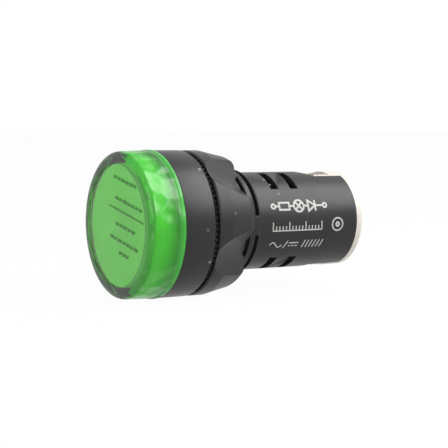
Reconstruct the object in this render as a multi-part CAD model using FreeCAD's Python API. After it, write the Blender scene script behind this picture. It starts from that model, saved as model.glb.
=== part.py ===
import FreeCAD, Part
import math
import os

# Panel pilot light for a 16 mm panel hole. Millimetres.
# The light's axis is Y. The origin is the centre of the seat that meets the panel's front.
# The lens faces -Y, the terminals are at +Y, and the wire windows are at +Z and -Z.

# Head: lens cap and round front collar
head_overhang = 2.96
lens_length = 6.60
lens_front_wall = 1.50
lens_wall = 1.86
lens_flare = 0.10
lens_edge_round = 1.00
lens_rim_width = 0.55
lens_rim_height = 0.10
lens_skirt_gap = 0.05
lens_skirt_lift = 0.10
film_margin = 2.01
film_thickness = 0.12
film_recess_depth = 0.15
film_gap = 0.15
collar_length = 3.88
collar_floor = 1.20
collar_wall = 1.01
collar_edge = 0.20

# Threaded barrel and body behind the panel
thread_radius = 7.95
thread_pitch = 1.50
thread_depth = 0.62
thread_groove_mouth = 0.75
thread_groove_floor = 0.35
thread_end = 9.45
thread_runout = 0.45
thread_rib_half_width = 1.45
body_step = 0.45
body_wall = 0.90
body_length = 27.87
keyway_width = 1.90

# Vent slots, in pairs on each side of the wire windows
vent_width = 1.38
vent_pitch = 3.55
vent_count = 2
vent_from_thread = 3.07
vent_start_deg = 9.0
vent_end_deg = 46.0

# Wire windows, one above and one below, measured forward from the body's rear edge
window_length = 6.99
window_wall = 0.65
window_ramp_length = 1.72
window_ramp_drop = 0.57

# Panel clamp: gasket, lock washer and nut
gasket_thickness = 0.40
gasket_margin = 1.01
gasket_bore_gap = 0.10
washer_thickness = 0.40
washer_tooth_count = 80
washer_tooth_depth = 0.40
washer_margin = 0.46
washer_clearance = 0.10
washer_tab_side_gap = 0.20
washer_tab_end_gap = 0.10
nut_bore_clearance = 0.08
nut_length = 6.80
nut_flange_length = 2.10
nut_taper_length = 5.40
nut_taper_drop = 0.72
nut_shoulder_length = 6.25
nut_shoulder_drop = 0.28
nut_rear_drop = 0.89
nut_scoop_radius = 7.00
nut_scoop_start = 0.90
nut_scoop_wall = 0.27
nut_scoop_count = 5
nut_front_edge = 0.20
nut_lobe_deg = 12.0

# Light source
board_gap = 0.15
board_thickness = 1.20
led_count = 6
led_margin = 3.00
led_width = 3.50
led_height = 1.40
led_window_radius = 1.40
led_window_height = 0.40
diffuser_inset = 0.10
diffuser_wall = 0.80
diffuser_gap = 1.38
rectifier_size = (4.20, 2.40, 5.20)
rectifier_x = -2.90
rectifier_corner = 0.80
capacitor_radius = 2.00
capacitor_height = 5.60
capacitor_x = 2.90
capacitor_neck = 0.18
resistor_inset = 1.20
resistor_start = 7.00
resistor_length = 6.20
resistor_radius = 1.00
resistor_cap_radius = 1.10
resistor_cap_length = 1.10
lead_radius = 0.30
lead_hole_gap = 0.08
lead_stub = 0.60

# Terminal block with two clamp terminals
block_front_wall = 1.30
block_fit_gap = 0.05
flange_thickness = 1.19
flange_edge = 0.20
chamber_from_rear = 5.97
chamber_length = 3.70
chamber_side_gap = 0.10
web_half_width = 1.00
pad_length = 3.20
pad_from_rear = 1.87
pad_drop = 0.40
pad_side_gap = 0.15
plate_thickness = 0.80
plate_side_gap = 0.15
plate_drop = 0.50
clamp_thickness = 0.60
clamp_rest_gap = 0.05
screw_radius = 1.20
screw_hole_gap = 0.08
screw_length = 4.00
screw_head_radius = 2.15
screw_head_height = 1.60
screw_head_dome = 0.45
screw_well_gap = 0.15
screw_slot_width = 0.55
screw_slot_length = 2.70
screw_slot_depth = 0.80

# Radii that follow the thread, from the head inwards
head_radius = thread_radius + head_overhang
collar_bore_radius = head_radius - collar_wall
lens_inner_radius = head_radius - lens_wall
film_radius = head_radius - film_margin
board_radius = lens_inner_radius - board_gap
diffuser_radius = board_radius - diffuser_inset
led_circle_radius = diffuser_radius - diffuser_wall - led_margin
gasket_outer_radius = head_radius - gasket_margin
gasket_inner_radius = thread_radius + gasket_bore_gap
washer_tip_radius = head_radius - washer_margin
washer_root_radius = washer_tip_radius - washer_tooth_depth
nut_bore_radius = thread_radius + nut_bore_clearance
nut_taper_radius = head_radius - nut_taper_drop
nut_rear_radius = nut_taper_radius - nut_rear_drop
thread_root_radius = thread_radius - thread_depth
body_radius = thread_radius - body_step
bore_radius = body_radius - body_wall
flange_radius = body_radius - block_fit_gap
block_core_radius = bore_radius - block_fit_gap
far = 3 * head_radius

# Stations along the axis that the pieces share
collar_front = -collar_length
lens_front = collar_front - lens_length
lens_ceiling = lens_front + lens_front_wall
lens_skirt_end = -collar_floor - lens_skirt_lift
board_rear = -collar_floor
board_front = board_rear - board_thickness
diffuser_front = lens_ceiling + diffuser_gap
washer_front = gasket_thickness
nut_front = washer_front + washer_thickness
nut_rear = nut_front + nut_length
body_start = thread_end + thread_runout
window_start = body_length - window_length
chamber_start = body_length - chamber_from_rear
chamber_end = chamber_start + chamber_length
pad_end = body_length - pad_from_rear
pad_start = pad_end - pad_length
plate_rear = chamber_start + plate_thickness
clamp_front = plate_rear + clamp_rest_gap
clamp_rear = clamp_front + clamp_thickness
block_front = chamber_start - block_front_wall
flange_rear = body_length + flange_thickness

# Places across the axis of the two terminals
terminal_z = web_half_width + screw_head_radius + screw_well_gap
chamber_half_width = screw_head_radius + chamber_side_gap
window_half_width = chamber_half_width + window_wall
window_floor_z = math.sqrt(bore_radius**2 - window_half_width**2) - 2 * block_fit_gap
pad_top_z = body_radius - pad_drop
plate_top_z = bore_radius - plate_drop
resistor_z = bore_radius - resistor_inset


def turned(*steps):
    """Solid of revolution about Y.

    A step is a point (radius, y), or two points for an arc through the first to the second.
    """
    start = FreeCAD.Vector(steps[0][0], steps[0][1], 0)
    here = start
    edges = []
    for step in steps[1:]:
        if isinstance(step[0], tuple):
            middle = FreeCAD.Vector(step[0][0], step[0][1], 0)
            end = FreeCAD.Vector(step[1][0], step[1][1], 0)
            edges.append(Part.Arc(here, middle, end).toShape())
        else:
            end = FreeCAD.Vector(step[0], step[1], 0)
            edges.append(Part.LineSegment(here, end).toShape())
        here = end
    edges.append(Part.LineSegment(here, start).toShape())
    solid = Part.Face(Part.Wire(edges)).revolve(FreeCAD.Vector(), FreeCAD.Vector(0, 1, 0), 360)
    if solid.Volume < 0:
        solid.reverse()
    return solid


def box(x_low, x_high, y_low, y_high, z_low, z_high):
    """Box between two corners."""
    corner = FreeCAD.Vector(x_low, y_low, z_low)
    return Part.makeBox(x_high - x_low, y_high - y_low, z_high - z_low, corner)


def rod(radius, y_low, y_high, x=0.0, z=0.0):
    """Cylinder along Y."""
    return Part.makeCylinder(radius, y_high - y_low, FreeCAD.Vector(x, y_low, z), FreeCAD.Vector(0, 1, 0))


def prism(points, y_low, y_high):
    """Polygon of (x, z) points pulled along Y."""
    corners = [FreeCAD.Vector(x, y_low, z) for x, z in points]
    face = Part.Face(Part.makePolygon(corners + corners[:1]))
    solid = face.extrude(FreeCAD.Vector(0, y_high - y_low, 0))
    if solid.Volume < 0:
        solid.reverse()
    return solid


def around(shape, degrees):
    """Copy of a shape turned about the light's axis."""
    copy = shape.copy()
    copy.rotate(FreeCAD.Vector(), FreeCAD.Vector(0, 1, 0), degrees)
    return copy


def on_circle(radius, degrees):
    """Point (x, z) at an angle from +X towards +Z."""
    angle = math.radians(degrees)
    return (radius * math.cos(angle), radius * math.sin(angle))


def lens():
    """Hollow cap with a film recess in front, a rear rim and a skirt that fits the collar."""
    side_front = head_radius - lens_flare
    edge = lens_edge_round
    slope = edge * (1 - math.sqrt(0.5))
    recess_radius = film_radius + film_gap
    skirt_radius = collar_bore_radius - lens_skirt_gap
    rim_radius = head_radius + lens_rim_height
    rim_front = collar_front - lens_rim_width
    return turned(
        (0, lens_front + film_recess_depth),
        (recess_radius, lens_front + film_recess_depth),
        (recess_radius, lens_front),
        (side_front - edge, lens_front),
        ((side_front - slope, lens_front + slope), (side_front, lens_front + edge)),
        (head_radius, rim_front),
        (rim_radius, rim_front + lens_rim_height),
        (rim_radius, collar_front),
        (skirt_radius, collar_front),
        (skirt_radius, lens_skirt_end),
        (lens_inner_radius, lens_skirt_end),
        (lens_inner_radius, lens_ceiling),
        (0, lens_ceiling),
    )


def protective_film():
    """Thin disc that lies in the recess of the lens."""
    rear = lens_front + film_recess_depth
    return rod(film_radius, rear - film_thickness, rear)


def diffuser():
    """Shallow cup that stands on the board over the light-emitting diodes."""
    cup = rod(diffuser_radius, diffuser_front, board_front)
    hollow = rod(diffuser_radius - diffuser_wall, diffuser_front + diffuser_wall, board_front + 1)
    return cup.cut(hollow)


def thread_outline():
    """Points (radius, y) of the barrel's thread, one groove after another, from the seat rearwards."""
    half_mouth = thread_groove_mouth / 2
    half_floor = thread_groove_floor / 2
    points = []
    for turn in range(1, int((thread_end - half_mouth) / thread_pitch) + 1):
        groove = turn * thread_pitch
        points.append((thread_radius, groove - half_mouth))
        points.append((thread_root_radius, groove - half_floor))
        points.append((thread_root_radius, groove + half_floor))
        points.append((thread_radius, groove + half_mouth))
    return points


def vent_slots():
    """Eight slots through the body's wall, four on each side of the wire windows."""
    slots = []
    for pole in (90, 270):
        for side in (-1, 1):
            span = [pole + side * angle for angle in (vent_start_deg, vent_end_deg)]
            middle = sum(span) / 2
            corners = [(0, 0)]
            corners += [on_circle(far, angle) for angle in (span[0], middle, span[1])]
            for number in range(vent_count):
                station = body_start + vent_from_thread + number * vent_pitch
                slots.append(prism(corners, station, station + vent_width))
    return slots


def wire_window(side):
    """Cutter for one window, with a ramp that leads the wire in. side is 1 above and -1 below."""
    ramp_end = window_start + window_ramp_length
    outline = [
        (window_start, body_radius),
        (ramp_end, body_radius - window_ramp_drop),
        (ramp_end, window_floor_z),
        (body_length + 1, window_floor_z),
        (body_length + 1, far),
        (window_start, far),
    ]
    corners = [FreeCAD.Vector(-window_half_width, y, side * z) for y, z in outline]
    face = Part.Face(Part.makePolygon(corners + corners[:1]))
    return face.extrude(FreeCAD.Vector(2 * window_half_width, 0, 0))


def housing():
    """One moulding: front collar, threaded barrel and hollow body with vents and windows.

    Plain ribs interrupt the thread at the moulding's two seams, and one of them holds the keyway.
    """
    shell = turned(
        (collar_bore_radius, collar_front),
        (head_radius - collar_edge, collar_front),
        (head_radius, collar_front + collar_edge),
        (head_radius, -collar_edge),
        (head_radius - collar_edge, 0),
        (thread_radius, 0),
        *thread_outline(),
        (thread_radius, thread_end),
        (body_radius, body_start),
        (body_radius, body_length),
        (bore_radius, body_length),
        (bore_radius, -collar_floor),
        (collar_bore_radius, -collar_floor),
    )
    half_rib = thread_rib_half_width
    ribs = rod(thread_radius, 0, thread_end).common(box(-far, far, 0, thread_end, -half_rib, half_rib))
    ribs = ribs.cut(rod((bore_radius + thread_root_radius) / 2, -1, thread_end + 1))
    shell = shell.fuse(ribs).removeSplitter()
    key_slot = box(-far, 0, 0, body_start, -keyway_width / 2, keyway_width / 2)
    key_slot = key_slot.cut(rod(thread_root_radius, -1, body_start + 1))
    cutters = vent_slots() + [wire_window(1), wire_window(-1), key_slot]
    return shell.cut(cutters)


def gasket():
    """Flat rubber ring behind the collar."""
    ring = rod(gasket_outer_radius, 0, gasket_thickness)
    return ring.cut(rod(gasket_inner_radius, -1, gasket_thickness + 1))


def lock_washer():
    """Toothed ring with an inner tab that rides in the barrel's keyway, so that it can't turn."""
    step = 360 / washer_tooth_count
    outline = []
    for tooth in range(washer_tooth_count):
        outline.append(on_circle(washer_tip_radius, tooth * step))
        outline.append(on_circle(washer_root_radius, (tooth + 0.5) * step))
    ring = prism(outline, washer_front, nut_front)
    inner_radius = thread_radius + washer_clearance
    ring = ring.cut(rod(inner_radius, -1, nut_front + 1))
    half_tab = keyway_width / 2 - washer_tab_side_gap
    tab_tip = thread_root_radius + washer_tab_end_gap
    tab = box(-inner_radius - 0.5, -tab_tip, washer_front, nut_front, -half_tab, half_tab)
    return ring.fuse(tab).removeSplitter()


def scoop(degrees):
    """Cutter for one finger scoop: a round gouge that deepens towards the rear of the nut."""
    shallow = FreeCAD.Vector(head_radius + nut_scoop_radius, nut_front + nut_scoop_start, 0)
    deep = FreeCAD.Vector(nut_bore_radius + nut_scoop_wall + nut_scoop_radius, nut_rear, 0)
    along = deep.sub(shallow)
    start = shallow.sub(along)
    gouge = Part.makeCylinder(nut_scoop_radius, 3 * along.Length, start, along)
    return around(gouge, -degrees)


def fixing_nut():
    """Round nut that tapers towards the rear, with scoops between its rounded lobes."""
    shoulder = (nut_taper_radius - nut_shoulder_drop, nut_front + nut_shoulder_length)
    blank = turned(
        (nut_bore_radius, nut_front),
        (head_radius - nut_front_edge, nut_front),
        (head_radius, nut_front + nut_front_edge),
        (head_radius, nut_front + nut_flange_length),
        (nut_taper_radius, nut_front + nut_taper_length),
        (shoulder, (nut_rear_radius, nut_rear)),
        (nut_bore_radius, nut_rear),
    )
    step = 360 / nut_scoop_count
    cutters = [scoop(nut_lobe_deg + step * (turn + 0.5)) for turn in range(nut_scoop_count)]
    return blank.cut(cutters)


def led_board():
    """Round circuit board on the collar's floor, with two holes for the resistors' leads."""
    board = rod(board_radius, board_front, board_rear)
    holes = [rod(lead_radius + lead_hole_gap, board_front - 1, board_rear + 1, 0, side * resistor_z)
             for side in (-1, 1)]
    return board.cut(holes)


def led(number):
    """One surface-mounted light-emitting diode: a square body with a raised round window."""
    x, z = on_circle(led_circle_radius, number * 360 / led_count)
    half_width = led_width / 2
    body_front = board_front - led_height
    body = box(x - half_width, x + half_width, body_front, board_front, z - half_width, z + half_width)
    window = rod(led_window_radius, body_front - led_window_height, body_front, x, z)
    return body.fuse(window)


def rectifier():
    """Bridge rectifier on the board's rear, with one cut corner that marks its polarity."""
    width, height, depth = rectifier_size
    left = rectifier_x - width / 2
    right = rectifier_x + width / 2
    top = depth / 2
    outline = [
        (left, -top),
        (right, -top),
        (right, top - rectifier_corner),
        (right - rectifier_corner, top),
        (left, top),
    ]
    return prism(outline, board_rear, board_rear + height)


def capacitor():
    """Can capacitor on the board's rear, with a crimped neck."""
    neck_y = board_rear + capacitor_height / 5
    can = turned(
        (0, board_rear),
        (capacitor_radius, board_rear),
        (capacitor_radius, neck_y - capacitor_neck),
        (capacitor_radius - capacitor_neck, neck_y),
        (capacitor_radius, neck_y + capacitor_neck),
        (capacitor_radius, board_rear + capacitor_height),
        (0, board_rear + capacitor_height),
    )
    can.translate(FreeCAD.Vector(capacitor_x, 0, 0))
    return can


def dropper_resistor(side):
    """Resistor between the board and one terminal plate, with its own straight leads."""
    end = resistor_start + resistor_length
    body = turned(
        (0, resistor_start),
        (resistor_cap_radius, resistor_start),
        (resistor_cap_radius, resistor_start + resistor_cap_length),
        (resistor_radius, resistor_start + resistor_cap_length),
        (resistor_radius, end - resistor_cap_length),
        (resistor_cap_radius, end - resistor_cap_length),
        (resistor_cap_radius, end),
        (0, end),
    )
    lead = rod(lead_radius, board_front - lead_stub, chamber_start)
    whole = body.fuse(lead).removeSplitter()
    whole.translate(FreeCAD.Vector(0, 0, side * resistor_z))
    return whole


def terminal_block():
    """Moulding that closes the rear: a core with two chambers and a flange, pads in the windows."""
    block = rod(block_core_radius, block_front, body_length)
    flange = turned(
        (0, body_length),
        (flange_radius, body_length),
        (flange_radius, flange_rear - flange_edge),
        (flange_radius - flange_edge, flange_rear),
        (0, flange_rear),
    )
    pad_half_width = window_half_width - pad_side_gap
    tongues = rod(flange_radius, pad_end, body_length)
    tongues = tongues.common(box(-pad_half_width, pad_half_width, pad_end, body_length, -far, far))
    pads = box(-pad_half_width, pad_half_width, pad_start, pad_end, -pad_top_z, pad_top_z)
    pads = pads.common(rod(body_radius, pad_start, pad_end))
    block = block.fuse([flange, tongues, pads]).removeSplitter()
    well_radius = screw_head_radius + screw_well_gap
    screw_passage = screw_radius + 2 * screw_hole_gap
    lead_passage = lead_radius + lead_hole_gap
    half = chamber_half_width
    cutters = []
    for side in (-1, 1):
        z = side * terminal_z
        z_low = min(side * web_half_width, side * far)
        z_high = z_low + far - web_half_width
        cutters.append(box(-half, half, chamber_start, chamber_end, z_low, z_high))
        cutters.append(rod(well_radius, chamber_end - 0.5, flange_rear + 1, 0, z))
        cutters.append(rod(screw_passage, block_front - 1, chamber_start + 0.5, 0, z))
        cutters.append(rod(lead_passage, block_front - 1, chamber_start + 0.5, 0, side * resistor_z))
    return block.cut(cutters)


def terminal_plate(side):
    """Tapped plate against the chamber's front wall."""
    half_width = chamber_half_width - plate_side_gap
    low = web_half_width + plate_side_gap
    plate = box(-half_width, half_width, chamber_start, plate_rear, low, plate_top_z)
    plate = plate.cut(rod(screw_radius + screw_hole_gap, chamber_start - 1, plate_rear + 1, 0, terminal_z))
    return plate if side > 0 else around(plate, 180)


def clamp_washer(side):
    """Square washer under the screw's head, which presses the wire on the plate."""
    half_width = chamber_half_width - plate_side_gap
    washer = box(-half_width, half_width, clamp_front, clamp_rear,
                 terminal_z - screw_head_radius, terminal_z + screw_head_radius)
    washer = washer.cut(rod(screw_radius + screw_hole_gap, clamp_front - 1, clamp_rear + 1, 0, terminal_z))
    return washer if side > 0 else around(washer, 180)


def terminal_screw(side):
    """Pan-head screw with a cross recess."""
    head_end = clamp_rear + screw_head_height
    screw = turned(
        (0, clamp_rear - screw_length),
        (screw_radius, clamp_rear - screw_length),
        (screw_radius, clamp_rear),
        (screw_head_radius, clamp_rear),
        (screw_head_radius, head_end - screw_head_dome),
        (screw_head_radius - screw_head_dome, head_end),
        (0, head_end),
    )
    half_width = screw_slot_width / 2
    half_length = screw_slot_length / 2
    floor = head_end - screw_slot_depth
    cross = [
        box(-half_width, half_width, floor, head_end + 1, -half_length, half_length),
        box(-half_length, half_length, floor, head_end + 1, -half_width, half_width),
    ]
    screw = screw.cut(cross)
    screw.translate(FreeCAD.Vector(0, 0, side * terminal_z))
    return screw


def all_pieces():
    """Every node's name with its solid."""
    pieces = {
        "lens": lens(),
        "protective_film": protective_film(),
        "diffuser": diffuser(),
        "housing": housing(),
        "gasket": gasket(),
        "lock_washer": lock_washer(),
        "fixing_nut": fixing_nut(),
        "led_board": led_board(),
        "rectifier": rectifier(),
        "capacitor": capacitor(),
        "terminal_block": terminal_block(),
    }
    for number in range(led_count):
        pieces[f"led_{number + 1}"] = led(number)
    for name, side in (("upper", 1), ("lower", -1)):
        pieces[f"dropper_resistor_{name}"] = dropper_resistor(side)
        pieces[f"terminal_plate_{name}"] = terminal_plate(side)
        pieces[f"clamp_washer_{name}"] = clamp_washer(side)
        pieces[f"terminal_screw_{name}"] = terminal_screw(side)
    return pieces


os.makedirs("parts", exist_ok=True)
for node, solid in all_pieces().items():
    solid.exportStep(f"parts/{node}.step")
    print(node, len(solid.Solids), "solid", round(solid.Volume, 2), "mm3", solid.isValid())
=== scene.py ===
import math
import bpy
import bmesh
from bpy.props import FloatProperty, FloatVectorProperty, PointerProperty
from bpy.types import Operator, Panel, PropertyGroup
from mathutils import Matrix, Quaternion, Vector


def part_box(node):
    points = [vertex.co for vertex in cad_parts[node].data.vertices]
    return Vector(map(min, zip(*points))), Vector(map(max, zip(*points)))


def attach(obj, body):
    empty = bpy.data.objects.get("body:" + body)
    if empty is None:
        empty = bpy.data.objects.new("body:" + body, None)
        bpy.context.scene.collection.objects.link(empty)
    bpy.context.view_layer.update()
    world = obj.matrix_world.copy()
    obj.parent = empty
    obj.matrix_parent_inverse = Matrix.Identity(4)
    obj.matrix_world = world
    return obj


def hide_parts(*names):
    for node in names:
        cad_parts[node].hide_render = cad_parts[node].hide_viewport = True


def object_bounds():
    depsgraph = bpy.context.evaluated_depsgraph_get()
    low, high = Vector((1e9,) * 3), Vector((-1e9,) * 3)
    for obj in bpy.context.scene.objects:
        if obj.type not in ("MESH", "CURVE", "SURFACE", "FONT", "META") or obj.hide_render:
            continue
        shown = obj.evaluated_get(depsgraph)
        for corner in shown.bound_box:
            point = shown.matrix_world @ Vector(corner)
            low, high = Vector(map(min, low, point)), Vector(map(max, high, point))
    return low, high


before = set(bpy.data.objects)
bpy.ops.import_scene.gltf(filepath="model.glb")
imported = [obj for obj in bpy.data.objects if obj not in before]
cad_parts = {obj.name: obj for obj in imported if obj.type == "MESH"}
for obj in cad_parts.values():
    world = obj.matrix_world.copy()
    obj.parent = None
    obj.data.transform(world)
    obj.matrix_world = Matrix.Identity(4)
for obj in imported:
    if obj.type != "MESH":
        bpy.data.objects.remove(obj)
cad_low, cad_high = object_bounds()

bl_info = {
    "name": "Panel Pilot Light",
    "version": (1, 0, 0),
    "blender": (4, 5, 0),
    "location": "View3D > Sidebar > Pilot Light",
    "description": "Finishes, print and stage of a panel pilot light with a green lens",
    "category": "Object",
}

MM = 0.001

# Places that come from the frame, in metres. The light's axis is Y, its front faces -Y, and the panel that
# it is fixed to starts at Y = 0.
FILM_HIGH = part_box("protective_film")[1]
LENS_LOW, LENS_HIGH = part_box("lens")
HOUSING_LOW, HOUSING_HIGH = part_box("housing")
CAPACITOR_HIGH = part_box("capacitor")[1]
LED_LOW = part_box("led_1")[0]
FILM_RADIUS = FILM_HIGH.x
LENS_RADIUS = HOUSING_HIGH.x
FLOOR_Z = cad_low.z
MIDDLE = (cad_low + cad_high) / 2

# Radius of the round body behind the thread, as built in the CAD. No box in the frame gives it.
BODY_RADIUS = 7.5 * MM

# How fine the meshes and the rounded edges are.
ARC_STEP = 0.15 * MM
LINE_STEP = 0.25 * MM
SHARP_CORNER = math.radians(25)
BEVEL_SAMPLES = 6

# Sockets of the Mix node for colours, which share their names with its other sockets.
MIX_FACTOR = 0
MIX_A = 6
MIX_B = 7
MIX_COLOUR = 2


def linear(hex_colour):
    """RGBA in linear light of an sRGB hex string such as #2a2a2c."""
    channels = [int(hex_colour[i:i + 2], 16) / 255 for i in (1, 3, 5)]
    return tuple(c / 12.92 if c <= 0.04045 else ((c + 0.055) / 1.055) ** 2.4 for c in channels) + (1.0,)


def per_metre(size_mm):
    """Scale of a pattern whose marks are this many millimetres apart."""
    return 1 / (size_mm * MM)


def colour(name, description, hex_colour):
    """A colour that the user can change."""
    return FloatVectorProperty(name=name, description=description, default=linear(hex_colour),
                               subtype="COLOR", size=4, min=0, max=1)


def length(name, description, millimetres):
    """A length that the user can change, kept in metres."""
    return FloatProperty(name=name, description=description, default=millimetres * MM,
                         min=0, unit="LENGTH", precision=5)


def angle(name, description, degrees):
    """An angle that the user can change, kept in radians."""
    return FloatProperty(name=name, description=description, default=math.radians(degrees),
                         subtype="ANGLE")


class PilotLightColours(PropertyGroup):
    """Colours of the materials as they are bought, and of the lens edge's painted shade and the collar's
    painted highlights.
    """
    lens: colour("Lens", "Outside of the green acrylic lens", "#d8f5d0")
    # Painted shade: this colour darkens the lens's rounded front edge
    edge: colour("Edge", "Rounded front edge of the lens", "#86a884")
    rim: colour("Rim", "Ground rim of the lens", "#48c644")
    frost: colour("Frost", "Frosted inside of the lens", "#f2f7ee")
    film: colour("Film", "Protective film on the lens", "#e0f2bc")
    film_print: colour("Film print", "Printed lines on the film", "#3f6e3a")
    black: colour("Black plastic", "Housing and nut", "#222223")
    # Painted highlight: besides scuffs, dust and worn edges, this colour paints small glints as pale spots on
    # the collar
    scuff_and_glint: colour("Scuffs", "Rubbed spots and dust on the black plastic", "#9a9a98")
    ink: colour("Ink", "White print on the body", "#b0b0ad")
    rubber: colour("Rubber", "Gasket", "#303030")
    cream: colour("Cream plastic", "Terminal block", "#c8c4bb")
    steel: colour("Plated steel", "Screws and clamp washers", "#c6c8ca")
    brass: colour("Plated brass", "Terminal plates", "#cbb77c")
    floor: colour("Floor", "Paper floor", "#d6d6d4")


class PilotLightSizes(PropertyGroup):
    """Sizes of what is printed, laid on or rounded, and of the studio."""
    lens_length: length("Lens length", "From the lens's front to the collar", 5.50)
    lens_wall: length("Lens wall", "Round wall of the lens", 1.86)
    lens_front_wall: length("Lens front wall", "Wall behind the film", 1.50)
    lens_edge: length("Lens edge", "Rounding of the lens's front edge", 1.00)
    collar_wall: length("Collar wall", "Round wall of the collar", 1.01)
    collar_skin: length("Collar skin", "Height of the collar band above the housing", 0.015)
    film_thickness: length("Film thickness", "Protective film", 0.08)
    film_gap: length("Film gap", "Air between the film and the lens", 0.02)
    edge: length("Edge", "Rounding of the larger mouldings' edges", 0.16)
    fine_edge: length("Fine edge", "Rounding of the edges of metal and small parts", 0.08)
    ink_height: length("Ink height", "Top of the ink above the surface", 0.03)
    ink_depth: length("Ink depth", "Underside of the ink below the surface", 0.03)
    bold_stroke: length("Bold stroke", "Width of the upper print's strokes", 0.30)
    fine_stroke: length("Fine stroke", "Width of the other strokes", 0.17)
    field_of_view: angle("Field of view", "Of the camera", 20.42)
    azimuth: angle("Azimuth", "Of the camera, from the lens's side", 58.07)
    elevation: angle("Elevation", "Of the camera", 5.10)
    roll: angle("Roll", "Of the camera", -0.93)
    distance: length("Distance", "From the camera to the light", 190)


class PilotLight(PropertyGroup):
    """Everything that the panel shows."""
    colours: PointerProperty(type=PilotLightColours)
    sizes: PointerProperty(type=PilotLightSizes)


def add(tree, kind, inputs=None, **settings):
    """Adds a node and gives its outputs. An input takes a value, or the socket that feeds it."""
    made = tree.nodes.new(kind)
    for key, value in settings.items():
        setattr(made, key, value)
    for key, value in (inputs or {}).items():
        if isinstance(value, bpy.types.NodeSocket):
            tree.links.new(value, made.inputs[key])
        else:
            made.inputs[key].default_value = value
    return made.outputs


def material(name, base, **settings):
    """Makes a material with one Principled shader.

    Gives the material, its node tree, the shader's inputs, and each place on the piece, in metres.
    """
    made = bpy.data.materials.new(name)
    made.use_nodes = True
    made.diffuse_color = base
    sockets = made.node_tree.nodes["Principled BSDF"].inputs
    sockets["Base Color"].default_value = base
    for key, value in settings.items():
        sockets[key.replace("_", " ")].default_value = value
    place = add(made.node_tree, "ShaderNodeTexCoord")["Object"]
    return made, made.node_tree, sockets, place


def off_axis(tree, place, centre=(0, 0, 0)):
    """How far each place is from the line along Y through a centre. Without one, that is the light's axis."""
    offset = add(tree, "ShaderNodeVectorMath", {0: place, 1: centre}, operation="SUBTRACT")["Vector"]
    flat = add(tree, "ShaderNodeVectorMath", {0: offset, 1: (1, 0, 1)}, operation="MULTIPLY")["Vector"]
    return add(tree, "ShaderNodeVectorMath", {0: flat}, operation="LENGTH")["Value"]


def uneven(tree, place, size_mm, depth_mm, below=None, detail=2.0):
    """The normal of a surface with soft marks of this size and depth, over another normal if one is given."""
    marks = add(tree, "ShaderNodeTexNoise",
                {"Vector": place, "Scale": per_metre(size_mm), "Detail": detail})["Fac"]
    relief = {"Height": marks, "Distance": depth_mm * MM}
    if below is not None:
        relief["Normal"] = below
    return add(tree, "ShaderNodeBump", relief)["Normal"]


def worn_edges(tree, place, rounded):
    """How worn each place is. Edges are, in patches, where the rounded normal leaves the flat one."""
    patch_mm = 1.1
    flat = add(tree, "ShaderNodeNewGeometry")["Normal"]
    match = add(tree, "ShaderNodeVectorMath", {0: rounded, 1: flat}, operation="DOT_PRODUCT")["Value"]
    edge = add(tree, "ShaderNodeMapRange", {"Value": match, "From Min": 0.995, "From Max": 0.90})["Result"]
    patches = add(tree, "ShaderNodeTexNoise",
                  {"Vector": place, "Scale": per_metre(patch_mm), "Detail": 3.0})["Fac"]
    return add(tree, "ShaderNodeMath", {0: edge, 1: patches}, operation="MULTIPLY")["Value"]


def scuff_and_glint(tree, place, centre_mm, size_mm, strength):
    """How pale each place is from one small ragged spot on the piece: a rubbed scuff, and on the collar also
    a painted highlight.
    """
    ragged_mm = 0.4
    size = size_mm * MM
    centre = tuple(v * MM for v in centre_mm)
    apart = add(tree, "ShaderNodeVectorMath", {0: place, 1: centre}, operation="DISTANCE")["Value"]
    rough = add(tree, "ShaderNodeTexNoise",
                {"Vector": place, "Scale": per_metre(ragged_mm), "Detail": 3.0})["Fac"]
    ragged = add(tree, "ShaderNodeMath", {0: rough, 1: -size, 2: apart}, operation="MULTIPLY_ADD")["Value"]
    return add(tree, "ShaderNodeMapRange", {"Value": ragged, "From Min": 0.0, "From Max": size / 2,
                                            "To Min": strength, "To Max": 0.0})["Result"]


def dress(made, *nodes):
    """Gives CAD nodes this material."""
    for name in nodes:
        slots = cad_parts[name].data.materials
        slots.clear()
        slots.append(made)


def new_piece(name, mesh, made, body):
    """Turns a bmesh into a piece that rides on a body. Round faces are smooth, and corners stay sharp."""
    data = bpy.data.meshes.new(name)
    bmesh.ops.recalc_face_normals(mesh, faces=mesh.faces)
    for face in mesh.faces:
        face.smooth = True
    for edge in mesh.edges:
        edge.smooth = edge.calc_face_angle(0) < SHARP_CORNER
    mesh.to_mesh(data)
    mesh.free()
    data.materials.append(made)
    piece = bpy.data.objects.new(name, data)
    bpy.context.scene.collection.objects.link(piece)
    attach(piece, body)
    return piece


def turned(profile, spokes=160):
    """A bmesh turned round the light's axis from (radius, y) points. It closes on the axis or on itself."""
    mesh = bmesh.new()
    turns = [math.radians(360 * spoke / spokes) for spoke in range(spokes)]
    loops = []
    for radius, y in profile:
        spread = turns if radius else (0,)
        loops.append([mesh.verts.new((radius * math.cos(turn), y, radius * math.sin(turn)))
                      for turn in spread])
    pairs = list(zip(loops, loops[1:]))
    if profile[0][0]:
        pairs.append((loops[-1], loops[0]))
    for here, there in pairs:
        for i in range(spokes):
            corners = [here[i % len(here)], here[(i - 1) % len(here)],
                       there[(i - 1) % len(there)], there[i % len(there)]]
            # A point on the axis is met twice and counts once, so the face there is a triangle
            mesh.faces.new(dict.fromkeys(corners))
    return mesh


def frosted_inside(tree, radius, y, sizes):
    """1 on the inner faces of the lens, and 0 on the others."""
    skin = 0.05 * MM
    inner = LENS_RADIUS - sizes.lens_wall + skin
    ceiling = LENS_LOW.y + sizes.lens_front_wall - skin
    within = add(tree, "ShaderNodeMath", {0: radius, 1: inner}, operation="LESS_THAN")["Value"]
    behind = add(tree, "ShaderNodeMath", {0: y, 1: ceiling}, operation="GREATER_THAN")["Value"]
    return add(tree, "ShaderNodeMath", {0: within, 1: behind}, operation="MULTIPLY")["Value"]


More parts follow.
